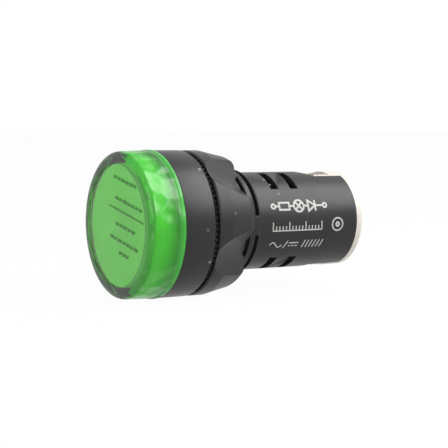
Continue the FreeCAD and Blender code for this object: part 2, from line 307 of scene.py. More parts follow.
def rounded_front(tree, radius, y, sizes):
    """1 on the rounded front edge of the lens, fading out where it meets the side."""
    margin = 0.1 * MM
    side = LENS_LOW.y + sizes.lens_edge
    front = LENS_LOW.y + sizes.lens_edge / 2
    rounding = add(tree, "ShaderNodeMapRange", {"Value": y, "From Min": side, "From Max": front})["Result"]
    beyond = add(tree, "ShaderNodeMath", {0: radius, 1: FILM_RADIUS + margin},
                 operation="GREATER_THAN")["Value"]
    return add(tree, "ShaderNodeMath", {0: rounding, 1: beyond}, operation="MULTIPLY")["Value"]


def tinted_acrylic(look):
    """Green acrylic, injection moulded: polished and clear outside, with a frosted inside that glows.

    Seen along the wall the green is deep and dark, and across it the frosted inside shows bright.
    """
    # How far before the rim the side turns greener, and is ground
    green_start = 1.3 * MM
    green_full = 0.9 * MM
    ground_start = 1.1 * MM
    ground_full = 0.5 * MM
    ground_share = 0.60
    # How far inside the lens's radius the side's finish starts, and is full
    side_start = 0.6 * MM
    side_full = 0.2 * MM
    front_roughness = 0.08
    side_roughness = 0.22
    frost_roughness = 0.5
    cell_mm = 2.2
    sink_depth = 0.36 * MM
    bulk = linear("#9df747")
    bulk_density = 800

    colours, sizes = look.colours, look.sizes
    made, tree, sockets, place = material("acrylic_green_moulded", colours.lens, Roughness=0.12, IOR=1.49,
                                          Specular_IOR_Level=0.32, Transmission_Weight=1.0)
    radius = off_axis(tree, place)
    y = add(tree, "ShaderNodeSeparateXYZ", {"Vector": place})["Y"]
    rim = LENS_LOW.y + sizes.lens_length
    frosted = frosted_inside(tree, radius, y, sizes)

    # The side is clear, and turns a fuller green just before the collar
    green = add(tree, "ShaderNodeMapRange", {"Value": y, "From Min": rim - green_start,
                                             "From Max": rim - green_full})["Result"]
    barrel = add(tree, "ShaderNodeMix", {MIX_FACTOR: green, MIX_A: colours.lens, MIX_B: colours.rim},
                 data_type="RGBA")[MIX_COLOUR]
    # Painted shade: the rounded edge is tinted darker, standing in for the darker look it has from showing
    # the whole depth of the wall behind it
    deep = rounded_front(tree, radius, y, sizes)
    outside = add(tree, "ShaderNodeMix", {MIX_FACTOR: deep, MIX_A: barrel, MIX_B: colours.edge},
                  data_type="RGBA")[MIX_COLOUR]
    tint = add(tree, "ShaderNodeMix", {MIX_FACTOR: frosted, MIX_A: outside, MIX_B: colours.frost},
               data_type="RGBA")[MIX_COLOUR]
    tree.links.new(tint, sockets["Base Color"])

    # The rim is partly ground, so it lets less light through, and the frosted inside lets none through
    ground = add(tree, "ShaderNodeMapRange", {"Value": y, "From Min": rim - ground_start,
                                              "From Max": rim - ground_full})["Result"]
    partly = add(tree, "ShaderNodeMath", {0: ground, 1: ground_share}, operation="MULTIPLY")["Value"]
    dull = add(tree, "ShaderNodeMath", {0: partly, 1: frosted}, operation="MAXIMUM")["Value"]
    clear = add(tree, "ShaderNodeMath", {0: 1.0, 1: dull}, operation="SUBTRACT")["Value"]
    tree.links.new(clear, sockets["Transmission Weight"])

    # The side is less polished than the front, and its soft sink marks draw a net in the reflections
    side = add(tree, "ShaderNodeMapRange", {"Value": radius, "From Min": LENS_RADIUS - side_start,
                                            "From Max": LENS_RADIUS - side_full})["Result"]
    satin = add(tree, "ShaderNodeMath", {0: side, 1: side_roughness, 2: front_roughness},
                operation="MULTIPLY_ADD")["Value"]
    rough = add(tree, "ShaderNodeMath", {0: frosted, 1: frost_roughness, 2: satin},
                operation="MULTIPLY_ADD")["Value"]
    tree.links.new(rough, sockets["Roughness"])
    cells = add(tree, "ShaderNodeTexVoronoi",
                {"Vector": place, "Scale": per_metre(cell_mm), "Smoothness": 0.35},
                feature="SMOOTH_F1")["Distance"]
    sunk = add(tree, "ShaderNodeMath", {0: cells, 1: side}, operation="MULTIPLY")["Value"]
    normal = add(tree, "ShaderNodeBump", {"Height": sunk, "Distance": sink_depth})["Normal"]
    tree.links.new(normal, sockets["Normal"])

    depth = add(tree, "ShaderNodeVolumeAbsorption", {"Color": bulk, "Density": bulk_density})["Volume"]
    tree.links.new(depth, tree.nodes["Material Output"].inputs["Volume"])
    return made


def opal_plastic():
    """White opal polystyrene, moulded: a matt white that lights the lens from behind."""
    made, tree, sockets, place = material("polystyrene_opal_moulded", linear("#f6f6f2"), Roughness=0.55)
    # The mould's grain is drawn coarser than it is, so that it shows
    normal = uneven(tree, place, size_mm=0.3, depth_mm=0.01)
    tree.links.new(normal, sockets["Normal"])
    return made


def cling_film(colours):
    """Polyethylene film, blown: thin and hazy, so that it pales the green behind it."""
    haze_mm = 4.0
    hazy = linear("#cfe8a6")
    made, tree, sockets, place = material("polyethylene_film_blown", colours.film, Roughness=0.25,
                                          Alpha=0.04)
    patches = add(tree, "ShaderNodeTexNoise",
                  {"Vector": place, "Scale": per_metre(haze_mm), "Detail": 3.0})["Fac"]
    haze = add(tree, "ShaderNodeMix", {MIX_FACTOR: patches, MIX_A: colours.film, MIX_B: hazy},
               data_type="RGBA")[MIX_COLOUR]
    tree.links.new(haze, sockets["Base Color"])
    normal = uneven(tree, place, size_mm=2.5, depth_mm=0.02)
    tree.links.new(normal, sockets["Normal"])
    return made


def printed_ink(name, base, ground):
    """Pad-printed ink: flat and matt, a little thin where the surface's grain shows through."""
    grain_mm = 0.35
    made, tree, sockets, place = material(name, base, Roughness=0.55)
    grain = add(tree, "ShaderNodeTexNoise",
                {"Vector": place, "Scale": per_metre(grain_mm), "Detail": 3.0})["Fac"]
    thin = add(tree, "ShaderNodeMapRange",
               {"Value": grain, "From Min": 0.60, "From Max": 0.80, "To Max": 0.35})["Result"]
    worn = add(tree, "ShaderNodeMix", {MIX_FACTOR: thin, MIX_A: base, MIX_B: ground},
               data_type="RGBA")[MIX_COLOUR]
    tree.links.new(worn, sockets["Base Color"])
    return made


def nylon_marks(tree, place, rounded, spots):
    """How pale each place of the nylon is, from its rubbed edges, specks of dust, single scuffs and, on the
    collar, painted highlights.
    """
    dust_mm = 0.55
    worn = worn_edges(tree, place, rounded)
    marks = add(tree, "ShaderNodeMapRange",
                {"Value": worn, "From Min": 0.25, "From Max": 0.65, "To Max": 0.16})["Result"]
    dust = add(tree, "ShaderNodeTexNoise",
               {"Vector": place, "Scale": per_metre(dust_mm), "Detail": 1.0})["Fac"]
    specks = add(tree, "ShaderNodeMapRange",
                 {"Value": dust, "From Min": 0.79, "From Max": 0.84, "To Max": 0.24})["Result"]
    scuffs_and_glints = [scuff_and_glint(tree, place, centre_mm, size_mm, strength) for centre_mm, size_mm, strength in spots]
    for mark in (specks, *scuffs_and_glints):
        marks = add(tree, "ShaderNodeMath", {0: marks, 1: mark}, operation="MAXIMUM")["Value"]
    return marks


def black_nylon(name, look, spots=()):
    """Black glass-filled nylon, moulded with a fine spark texture: satin, with paler rubbed edges."""
    handled_mm = 5.0
    colours, sizes = look.colours, look.sizes
    made, tree, sockets, place = material(name, colours.black, Roughness=0.40, Specular_IOR_Level=0.28)
    rounded = add(tree, "ShaderNodeBevel", {"Radius": sizes.edge}, samples=BEVEL_SAMPLES)["Normal"]
    marks = nylon_marks(tree, place, rounded, spots)
    tint = add(tree, "ShaderNodeMix", {MIX_FACTOR: marks, MIX_A: colours.black, MIX_B: colours.scuff_and_glint},
               data_type="RGBA")[MIX_COLOUR]
    tree.links.new(tint, sockets["Base Color"])
    # The spark texture is drawn coarser than it is, so that it shows, and lies over wide sink marks
    spark = uneven(tree, place, size_mm=0.20, depth_mm=0.012, below=rounded)
    normal = uneven(tree, place, size_mm=7.0, depth_mm=0.06, below=spark, detail=1.0)
    tree.links.new(normal, sockets["Normal"])
    handled = add(tree, "ShaderNodeTexNoise",
                  {"Vector": place, "Scale": per_metre(handled_mm), "Detail": 4.0})["Fac"]
    satin = add(tree, "ShaderNodeMapRange", {"Value": handled, "From Min": 0.35, "From Max": 0.65,
                                             "To Min": 0.34, "To Max": 0.42})["Result"]
    tree.links.new(satin, sockets["Roughness"])
    return made


def die_cut_rubber(colours):
    """Black nitrile rubber, cut from sheet: matt, with a faint sheet texture."""
    made, tree, sockets, place = material("nitrile_rubber_die_cut", colours.rubber, Roughness=0.75)
    # The sheet's texture is drawn coarser than it is, so that it shows
    normal = uneven(tree, place, size_mm=0.18, depth_mm=0.02)
    tree.links.new(normal, sockets["Normal"])
    return made


def black_acetal(look):
    """Black acetal, moulded: a little glossier than the nylon beside it, with dulled tooth tips."""
    base = linear("#2b2b2c")
    made, tree, sockets, place = material("acetal_black_moulded", base, Roughness=0.34)
    rounded = add(tree, "ShaderNodeBevel", {"Radius": look.sizes.fine_edge}, samples=BEVEL_SAMPLES)["Normal"]
    worn = worn_edges(tree, place, rounded)
    tips = add(tree, "ShaderNodeMapRange",
               {"Value": worn, "From Min": 0.3, "From Max": 0.7, "To Max": 0.3})["Result"]
    tint = add(tree, "ShaderNodeMix", {MIX_FACTOR: tips, MIX_A: base, MIX_B: look.colours.scuff_and_glint},
               data_type="RGBA")[MIX_COLOUR]
    tree.links.new(tint, sockets["Base Color"])
    tree.links.new(rounded, sockets["Normal"])
    return made


def cream_polyester(look):
    """Cream glass-filled polyester, moulded: a soft satin with faint flow marks."""
    flow_mm = 3.0
    base = look.colours.cream
    flow_colour = linear("#d3cec3")
    dirt = linear("#a89f8e")
    made, tree, sockets, place = material("polyester_cream_moulded", base, Roughness=0.42,
                                          Subsurface_Weight=0.10, Subsurface_Radius=(0.6, 0.45, 0.3),
                                          Subsurface_Scale=1.0 * MM)
    rounded = add(tree, "ShaderNodeBevel", {"Radius": look.sizes.edge}, samples=BEVEL_SAMPLES)["Normal"]
    worn = worn_edges(tree, place, rounded)
    marks = add(tree, "ShaderNodeTexNoise", {"Vector": place, "Scale": per_metre(flow_mm), "Detail": 4.0,
                                             "Roughness": 0.6})["Fac"]
    flow = add(tree, "ShaderNodeMapRange", {"Value": marks, "From Min": 0.4, "From Max": 0.7})["Result"]
    tint = add(tree, "ShaderNodeMix", {MIX_FACTOR: flow, MIX_A: base, MIX_B: flow_colour},
               data_type="RGBA")[MIX_COLOUR]
    dirty = add(tree, "ShaderNodeMapRange",
                {"Value": worn, "From Min": 0.3, "From Max": 0.7, "To Max": 0.2})["Result"]
    soiled = add(tree, "ShaderNodeMix", {MIX_FACTOR: dirty, MIX_A: tint, MIX_B: dirt},
                 data_type="RGBA")[MIX_COLOUR]
    tree.links.new(soiled, sockets["Base Color"])
    # The mould's grain is drawn coarser than it is, so that it shows
    normal = uneven(tree, place, size_mm=0.25, depth_mm=0.008, below=rounded)
    tree.links.new(normal, sockets["Normal"])
    return made


def zinc_steel(look):
    """Steel, cold headed and zinc plated: bright, with a faint blue bloom and fine tool marks."""
    # The tool marks are drawn coarser than they are, so that they show
    tool_mm = 0.3
    tool_depth = 0.004 * MM
    bloom_mm = 1.2
    bloom_colour = linear("#b4bac2")
    base = look.colours.steel
    made, tree, sockets, place = material("steel_zinc_plated", base, Roughness=0.30, Metallic=1.0)
    rounded = add(tree, "ShaderNodeBevel", {"Radius": look.sizes.fine_edge}, samples=BEVEL_SAMPLES)["Normal"]
    patches = add(tree, "ShaderNodeTexNoise",
                  {"Vector": place, "Scale": per_metre(bloom_mm), "Detail": 3.0})["Fac"]
    bloom = add(tree, "ShaderNodeMapRange", {"Value": patches, "From Min": 0.4, "From Max": 0.7})["Result"]
    tint = add(tree, "ShaderNodeMix", {MIX_FACTOR: bloom, MIX_A: base, MIX_B: bloom_colour},
               data_type="RGBA")[MIX_COLOUR]
    tree.links.new(tint, sockets["Base Color"])
    fine = add(tree, "ShaderNodeTexNoise", {"Vector": place, "Scale": per_metre(tool_mm)})["Fac"]
    satin = add(tree, "ShaderNodeMapRange", {"Value": fine, "From Min": 0.3, "From Max": 0.7,
                                             "To Min": 0.24, "To Max": 0.40})["Result"]
    tree.links.new(satin, sockets["Roughness"])
    normal = add(tree, "ShaderNodeBump",
                 {"Height": fine, "Distance": tool_depth, "Normal": rounded})["Normal"]
    tree.links.new(normal, sockets["Normal"])
    return made


def plated_brass(look):
    """Brass, stamped and thinly plated: warm and bright, duller in patches."""
    patch_mm = 0.9
    tarnish = linear("#a88f58")
    base = look.colours.brass
    made, tree, sockets, place = material("brass_plated_stamped", base, Roughness=0.28, Metallic=1.0)
    patches = add(tree, "ShaderNodeTexNoise",
                  {"Vector": place, "Scale": per_metre(patch_mm), "Detail": 3.0})["Fac"]
    dull = add(tree, "ShaderNodeMapRange", {"Value": patches, "From Min": 0.45, "From Max": 0.7})["Result"]
    tint = add(tree, "ShaderNodeMix", {MIX_FACTOR: dull, MIX_A: base, MIX_B: tarnish},
               data_type="RGBA")[MIX_COLOUR]
    tree.links.new(tint, sockets["Base Color"])
    rounded = add(tree, "ShaderNodeBevel", {"Radius": look.sizes.fine_edge}, samples=BEVEL_SAMPLES)["Normal"]
    tree.links.new(rounded, sockets["Normal"])
    return made


def circuit_board():
    """Glass-epoxy laminate with solder mask: green lacquer over paler copper tracks."""
    track_mm = 1.6
    track_height = 0.03 * MM
    base = linear("#15512c")
    over_copper = linear("#2a7a3c")
    made, tree, sockets, place = material("glass_epoxy_laminated", base, Roughness=0.35)
    marks = add(tree, "ShaderNodeTexNoise",
                {"Vector": place, "Scale": per_metre(track_mm), "Detail": 0.0})["Fac"]
    tracks = add(tree, "ShaderNodeMapRange", {"Value": marks, "From Min": 0.48, "From Max": 0.50})["Result"]
    tint = add(tree, "ShaderNodeMix", {MIX_FACTOR: tracks, MIX_A: base, MIX_B: over_copper},
               data_type="RGBA")[MIX_COLOUR]
    tree.links.new(tint, sockets["Base Color"])
    normal = add(tree, "ShaderNodeBump", {"Height": tracks, "Distance": track_height})["Normal"]
    tree.links.new(normal, sockets["Normal"])
    return made


def led_package():
    """White ceramic-filled package with a cast silicone window: the window is yellower and clearer."""
    window_y = LED_LOW.y + 0.4 * MM
    window_border = 0.02 * MM
    base = linear("#eceae2")
    silicone = linear("#d9d77a")
    made, tree, sockets, place = material("led_package_cast", base, Roughness=0.4)
    y = add(tree, "ShaderNodeSeparateXYZ", {"Vector": place})["Y"]
    window = add(tree, "ShaderNodeMapRange", {"Value": y, "From Min": window_y,
                                              "From Max": window_y - window_border})["Result"]
    tint = add(tree, "ShaderNodeMix", {MIX_FACTOR: window, MIX_A: base, MIX_B: silicone},
               data_type="RGBA")[MIX_COLOUR]
    tree.links.new(tint, sockets["Base Color"])
    shine = add(tree, "ShaderNodeMapRange", {"Value": window, "To Min": 0.45, "To Max": 0.12})["Result"]
    tree.links.new(shine, sockets["Roughness"])
    return made


def black_epoxy(look):
    """Black epoxy, transfer moulded: dull, with a fine mould grain."""
    made, tree, sockets, place = material("epoxy_black_moulded", linear("#1d1d1e"), Roughness=0.6)
    rounded = add(tree, "ShaderNodeBevel", {"Radius": look.sizes.fine_edge}, samples=BEVEL_SAMPLES)["Normal"]
    # The grain is drawn coarser than it is, so that it shows
    normal = uneven(tree, place, size_mm=0.15, depth_mm=0.01, below=rounded)
    tree.links.new(normal, sockets["Normal"])
    return made


def sleeved_can():
    """Aluminium can in a shrunk vinyl sleeve: dark sleeve, bare bright end."""
    sleeve_end = CAPACITOR_HIGH.y - 0.25 * MM
    bare_start = CAPACITOR_HIGH.y - 0.20 * MM
    base = linear("#1c2a3a")
    aluminium = linear("#c9ccd0")
    made, tree, sockets, place = material("aluminium_can_sleeved", base, Roughness=0.35)
    y = add(tree, "ShaderNodeSeparateXYZ", {"Vector": place})["Y"]
    bare = add(tree, "ShaderNodeMapRange",
               {"Value": y, "From Min": sleeve_end, "From Max": bare_start})["Result"]
    tint = add(tree, "ShaderNodeMix", {MIX_FACTOR: bare, MIX_A: base, MIX_B: aluminium},
               data_type="RGBA")[MIX_COLOUR]
    tree.links.new(tint, sockets["Base Color"])
    tree.links.new(bare, sockets["Metallic"])
    return made


def dipped_resistor(name, centre):
    """Metal-oxide resistor, dipped in lacquer: dark body with plain bands, and tinned leads."""
    lead_radius = 0.40 * MM
    lacquer_start = 0.45 * MM
    band_spacing = 1.5 * MM
    base = linear("#4c5a5c")
    band = linear("#5a4632")
    tin = linear("#8e8f90")
    made, tree, sockets, place = material(name, base, Roughness=0.45)
    y = add(tree, "ShaderNodeSeparateXYZ", {"Vector": place})["Y"]
    reach = off_axis(tree, place, (centre.x, 0, centre.z))
    lead = add(tree, "ShaderNodeMapRange",
               {"Value": reach, "From Min": lacquer_start, "From Max": lead_radius})["Result"]
    turns = add(tree, "ShaderNodeMath", {0: y, 1: 2 * math.pi / band_spacing}, operation="MULTIPLY")["Value"]
    wave = add(tree, "ShaderNodeMath", {0: turns}, operation="SINE")["Value"]
    bands = add(tree, "ShaderNodeMapRange", {"Value": wave, "From Min": 0.55, "From Max": 0.65})["Result"]
    body = add(tree, "ShaderNodeMix", {MIX_FACTOR: bands, MIX_A: base, MIX_B: band},
               data_type="RGBA")[MIX_COLOUR]
    tint = add(tree, "ShaderNodeMix", {MIX_FACTOR: lead, MIX_A: body, MIX_B: tin},
               data_type="RGBA")[MIX_COLOUR]
    tree.links.new(tint, sockets["Base Color"])
    tree.links.new(lead, sockets["Metallic"])
    return made


def arc(centre, radius, start=0.0, end=360.0):
    """Points of an arc, whose ends are in degrees. There are at least four steps, none over ARC_STEP."""
    count = max(4, math.ceil(abs(math.radians(end - start)) * radius / ARC_STEP))
    angles = [math.radians(start + (end - start) * i / count) for i in range(count + 1)]
    return [(centre[0] + radius * math.cos(a), centre[1] + radius * math.sin(a)) for a in angles]


def straight(*points):
    """The same line with points added, so that no step is over LINE_STEP."""
    line = [points[0]]
    for start, end in zip(points, points[1:]):
        steps = max(1, math.ceil(math.dist(start, end) / LINE_STEP))
        line += [tuple(s + (e - s) * i / steps for s, e in zip(start, end)) for i in range(1, steps + 1)]
    return line


def stroke(mesh, line, width, place, sizes):
    """Adds one closed strip of ink along a line of (u, v) points. place turns u, v and height to a point."""
    same_point = 1e-7
    sharpest_bend = 0.6
    corners = ((-1, -sizes.ink_depth), (1, -sizes.ink_depth), (1, sizes.ink_height), (-1, sizes.ink_height))
    points = [Vector(p) for p in line]
    ring = (points[0] - points[-1]).length < same_point
    if ring:
        points.pop()
    count = len(points)
    rows = []
    for i, point in enumerate(points):
        before = points[i - 1] if ring or i else point
        after = points[(i + 1) % count] if ring or i < count - 1 else point
        ways = [way.normalized() for way in (point - before, after - point) if way.length > 0]
        along = sum(ways, Vector((0, 0))).normalized()
        side = Vector((-along.y, along.x))
        # The strip is cut wider at a bend, so that its stroke keeps its width there
        reach = width / 2 / max(sharpest_bend, along.dot(ways[0]))
        rows.append([mesh.verts.new(place(*(point + side * sign * reach), height))
                     for sign, height in corners])
    pairs = list(zip(rows, rows[1:] + rows[:1])) if ring else list(zip(rows, rows[1:]))
    for here, there in pairs:
        for k in range(len(corners)):
            mesh.faces.new((here[k], here[k - 1], there[k - 1], there[k]))
    if not ring:
        mesh.faces.new(rows[0])
        mesh.faces.new(rows[-1])


def on_body(turn_deg):
    """Places print on the round body: u runs along the axis, v around it from this angle."""
    def place(u, v, height):
        around = math.radians(turn_deg) + v / BODY_RADIUS
        radius = BODY_RADIUS + height
        return (radius * math.cos(around), u, radius * math.sin(around))
    return place


def wiring_row(mesh, sizes):
    """Upper print, bold: a plain wiring diagram with a resistor, a lamp and a diode."""
    place = on_body(turn_deg=21.0)
    lamp, lamp_radius = 17.00 * MM, 0.90 * MM
    ends = (12.35 * MM, 21.85 * MM)
    end_radius = 0.34 * MM
    box_start, box_end, box_half = 13.45 * MM, 15.25 * MM, 0.55 * MM
    diode_start, diode_end, diode_half = 18.75 * MM, 20.05 * MM, 0.85 * MM
    cross = lamp_radius * math.sqrt(0.5)
    lines = [arc((end, 0), end_radius) for end in ends]
    lines.append(arc((lamp, 0), lamp_radius))
    lines.append(straight((lamp - cross, -cross), (lamp + cross, cross)))
    lines.append(straight((lamp - cross, cross), (lamp + cross, -cross)))
    lines.append(straight((box_start, -box_half), (box_end, -box_half), (box_end, box_half),
                          (box_start, box_half), (box_start, -box_half)))
    lines.append(straight((diode_start, -diode_half), (diode_end, 0), (diode_start, diode_half),
                          (diode_start, -diode_half)))
    lines.append(straight((diode_end, -diode_half), (diode_end, diode_half)))
    joints = [ends[0] + end_radius, box_start, box_end, lamp - lamp_radius, lamp + lamp_radius,
              diode_start, diode_end, ends[1] - end_radius]
    for start, end in zip(joints[::2], joints[1::2]):
        lines.append(straight((start, 0), (end, 0)))
    for line in lines:
        stroke(mesh, line, sizes.bold_stroke, place, sizes)


def scale_row(mesh, sizes):
    """Middle print: a plain graduated scale, and a ring with a dot at its end."""
    place = on_body(turn_deg=-2.6)
    start, spacing, count, tall_every = 12.1 * MM, 0.6 * MM, 16, 5
    bottom, short, tall = -0.65 * MM, 0.05 * MM, 0.65 * MM
    ring_centre = (24.1 * MM, 0.05 * MM)
    ring_radius, ring_stroke = 0.98 * MM, sizes.fine_stroke * 1.3
    dot_radius, dot_stroke = 0.28 * MM, sizes.fine_stroke * 1.6
    stroke(mesh, straight((start, bottom), (start + spacing * (count - 1), bottom)),
           sizes.fine_stroke, place, sizes)
    for number in range(count):
        top = short if number % tall_every else tall
        x = start + spacing * number
        stroke(mesh, straight((x, bottom), (x, top)), sizes.fine_stroke, place, sizes)
    stroke(mesh, arc(ring_centre, ring_radius), ring_stroke, place, sizes)
    stroke(mesh, arc(ring_centre, dot_radius), dot_stroke, place, sizes)


def current_row(mesh, sizes):
    """Lower print, slanted: signs for alternating and direct current, then plain slanted bars."""
    place = on_body(turn_deg=-24.8)
    half_height = 0.62 * MM
    wave_start, wave_length, wave_half, wave_steps = 11.9 * MM, 2.2 * MM, 0.42 * MM, 16
    slash_foot, slash_top = 14.45 * MM, 15.15 * MM
    direct_start, direct_end, direct_half = 15.45 * MM, 17.15 * MM, 0.25 * MM
    dash_start, dash_spacing, dash_length, dash_count = 15.35 * MM, 0.62 * MM, 0.40 * MM, 3
    bar_start, bar_spacing, bar_slant, bar_count = 17.95 * MM, 0.66 * MM, 0.42 * MM, 6
    wave = []
    for i in range(wave_steps + 1):
        share = i / wave_steps
        wave.append((wave_start + share * wave_length, wave_half * math.sin(share * 2 * math.pi)))
    lines = [wave, straight((slash_foot, -half_height), (slash_top, half_height))]
    lines.append(straight((direct_start, direct_half), (direct_end, direct_half)))
    for number in range(dash_count):
        start = dash_start + dash_spacing * number
        lines.append(straight((start, -direct_half), (start + dash_length, -direct_half)))
    for number in range(bar_count):
        foot = bar_start + bar_spacing * number
        lines.append(straight((foot, -half_height), (foot + bar_slant, half_height)))
    for line in lines:
        stroke(mesh, line, sizes.fine_stroke, place, sizes)


def film_place(front):
    """Places print on the film, which lies turned on the lens."""
    turn = math.radians(-10.5)
    centre = (3.1 * MM, 1.9 * MM)

    def place(u, v, height):
        x = centre[0] + u * math.cos(turn) - v * math.sin(turn)
        z = centre[1] + u * math.sin(turn) + v * math.cos(turn)
        return (x, front - height, z)
    return place


def film_disc(sizes):
    """The film: a thin round sheet, and its front face's place."""
    rear = FILM_HIGH.y - sizes.film_gap
    front = rear - sizes.film_thickness
    return turned([(0, front), (FILM_RADIUS, front), (FILM_RADIUS, rear), (0, rear)]), front


def lens_cup(sizes):
    """The lens: a thick-walled cup with a round front edge, a recess for the film and a fine rear rim."""
    draft = 0.10 * MM
    rim_height = 0.10 * MM
    rim_start = 0.55 * MM
    rim_full = 0.45 * MM
    film_room = 0.15 * MM
    press_room = 0.05 * MM
    front = LENS_LOW.y
    collar = front + sizes.lens_length
    ceiling = front + sizes.lens_front_wall
    side = LENS_RADIUS - draft
    rim = LENS_RADIUS + rim_height
    recess = FILM_RADIUS + film_room
    skirt = LENS_RADIUS - sizes.collar_wall - press_room
    inner = LENS_RADIUS - sizes.lens_wall
    profile = [(0, FILM_HIGH.y), (recess, FILM_HIGH.y), (recess, front)]
    profile += arc((side - sizes.lens_edge, front + sizes.lens_edge), sizes.lens_edge, -90, 0)
    profile += [(LENS_RADIUS, collar - rim_start), (rim, collar - rim_full), (rim, collar)]
    profile += [(skirt, collar), (skirt, LENS_HIGH.y), (inner, LENS_HIGH.y), (inner, ceiling), (0, ceiling)]
    return turned(profile)


def collar_sleeve(sizes):
    """Black band that carries the collar forward to the lens's rim, over the housing's collar."""
    seat_room = 0.005 * MM
    # How deep the band lies in the housing's collar, and how far its thick front laps over that
    depth = 0.3 * MM
    lap = 0.3 * MM
    round_edge = 0.20 * MM
    front = LENS_LOW.y + sizes.lens_length
    rear = -seat_room
    outer = LENS_RADIUS + sizes.collar_skin
    bore = LENS_RADIUS - sizes.collar_wall
    inner = LENS_RADIUS - depth
    step = HOUSING_LOW.y + lap
    profile = [(bore, front)]
    profile += arc((outer - round_edge, front + round_edge), round_edge, -90, 0)
    profile += arc((outer - round_edge, rear - round_edge), round_edge, 0, 90)
    profile += [(inner, rear), (inner, step), (bore, step)]
    return turned(profile)


def film_lines():
    """Lines of the film's print, with their widths: a rule, and rows of plain dashes above and below it."""
    rule_half, rule_stroke = 5.4 * MM, 0.20 * MM
    dash_stroke = 0.42 * MM
    # In millimetres on the film: each row's height and its two ends, then the dashes in turn
    rows = ((4.45, -4.8, 2.4), (1.56, -3.7, 4.5), (-2.06, -2.9, 3.7), (-4.29, -4.1, 4.3), (-5.99, -1.0, 1.8))
    dashes = (0.9, 0.5, 1.1, 0.7)
    gap = 0.45
    shortest = 0.3
    lines = [(straight((-rule_half, 0), (rule_half, 0)), rule_stroke)]
    for v, start, end in rows:
        u = start
        number = 0
        while u < end - shortest:
            stop = min(u + dashes[number % len(dashes)], end)
            lines.append((straight((u * MM, v * MM), (stop * MM, v * MM)), dash_stroke))
            u = stop + gap
            number += 1
    return lines


class PILOTLIGHT_OT_lens(Operator):
    """Finish the lens and the diffuser behind it"""
    bl_idname = "pilot_light.lens"
    bl_label = "Lens"

    def execute(self, context):
        look = context.scene.pilot_light
        cup = new_piece("lens_cup", lens_cup(look.sizes), tinted_acrylic(look), "root")
        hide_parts("lens")
        dress(opal_plastic(), "diffuser")
        return {"FINISHED"}


class PILOTLIGHT_OT_film(Operator):
    """Lay the protective film and its plain print on the lens"""
    bl_idname = "pilot_light.film"
    bl_label = "Protective film"

    def execute(self, context):
        look = context.scene.pilot_light
        mesh, front = film_disc(look.sizes)
        film = new_piece("film", mesh, cling_film(look.colours), "root")
        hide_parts("protective_film")
        marks = bmesh.new()
        for line, width in film_lines():
            stroke(marks, line, width, film_place(front), look.sizes)
        ink = printed_ink("ink_green_printed", look.colours.film_print, look.colours.film)
        new_piece("film_print", marks, ink, "root")
        return {"FINISHED"}


class PILOTLIGHT_OT_mouldings(Operator):
    """Finish the housing, the fixing nut, the lock washer and the gasket"""
    bl_idname = "pilot_light.mouldings"
    bl_label = "Black mouldings"

    def execute(self, context):
        look = context.scene.pilot_light
        # Each spot is its centre and its size, in millimetres, and how pale it is
        housing_spots = (((3.66, 12.78, 6.55), 0.30, 0.5), ((5.97, 14.0, 4.54), 0.25, 0.45))
        # The collar's first two spots are painted highlights: pale spots where small glints fall
        collar_spots = (((6.97, -0.57, 8.42), 0.30, 0.7), ((9.83, -0.31, -4.77), 0.30, 0.5),
                        ((10.93, -1.39, -0.06), 0.30, 0.2))
        nut_spots = (((7.35, 6.9, -5.7), 0.50, 0.5), ((10.5, 3.4, 2.2), 0.25, 0.3))
        dress(black_nylon("nylon_black_housing_moulded", look, housing_spots), "housing")
        dress(black_nylon("nylon_black_nut_moulded", look, nut_spots), "fixing_nut")
        collar = black_nylon("nylon_black_collar_moulded", look, collar_spots)
        new_piece("collar_band", collar_sleeve(look.sizes), collar, "root")
        dress(black_acetal(look), "lock_washer")
        dress(die_cut_rubber(look.colours), "gasket")
        return {"FINISHED"}


class PILOTLIGHT_OT_body_print(Operator):
    """Print the plain white signs on the body"""
    bl_idname = "pilot_light.body_print"
    bl_label = "Body print"

    def execute(self, context):
        look = context.scene.pilot_light
        mesh = bmesh.new()
        wiring_row(mesh, look.sizes)
        scale_row(mesh, look.sizes)
        current_row(mesh, look.sizes)
        ink = printed_ink("ink_white_pad_printed", look.colours.ink, look.colours.black)
        new_piece("body_print", mesh, ink, "root")
        return {"FINISHED"}


class PILOTLIGHT_OT_terminals(Operator):
    """Finish the terminal block, its plates, clamp washers and screws"""
    bl_idname = "pilot_light.terminals"
    bl_label = "Terminals"

    def execute(self, context):
        look = context.scene.pilot_light
        dress(cream_polyester(look), "terminal_block")
        dress(plated_brass(look), "terminal_plate_upper", "terminal_plate_lower")
        dress(zinc_steel(look), "clamp_washer_upper", "clamp_washer_lower",
              "terminal_screw_upper", "terminal_screw_lower")
        return {"FINISHED"}


class PILOTLIGHT_OT_electronics(Operator):
    """Finish the board, the light-emitting diodes and the parts behind them"""
    bl_idname = "pilot_light.electronics"
    bl_label = "Electronics"

    def execute(self, context):
        leds = [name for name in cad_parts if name.startswith("led_") and name != "led_board"]
        dress(circuit_board(), "led_board")
        dress(led_package(), *leds)
        dress(black_epoxy(context.scene.pilot_light), "rectifier")
        dress(sleeved_can(), "capacitor")
        for place in ("upper", "lower"):
            low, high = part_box("dropper_resistor_" + place)
            dress(dipped_resistor("resistor_dipped_" + place, (low + high) / 2), "dropper_resistor_" + place)
        return {"FINISHED"}


def direct_view(tree):
    """1 for rays that come from the camera, a mirror or glass, and 0 for those that light things."""
    path = add(tree, "ShaderNodeLightPath")
    seen = path["Is Camera Ray"]
    for kind in ("Is Glossy Ray", "Is Transmission Ray"):
        seen = add(tree, "ShaderNodeMath", {0: seen, 1: path[kind]}, operation="MAXIMUM")["Value"]
    return seen


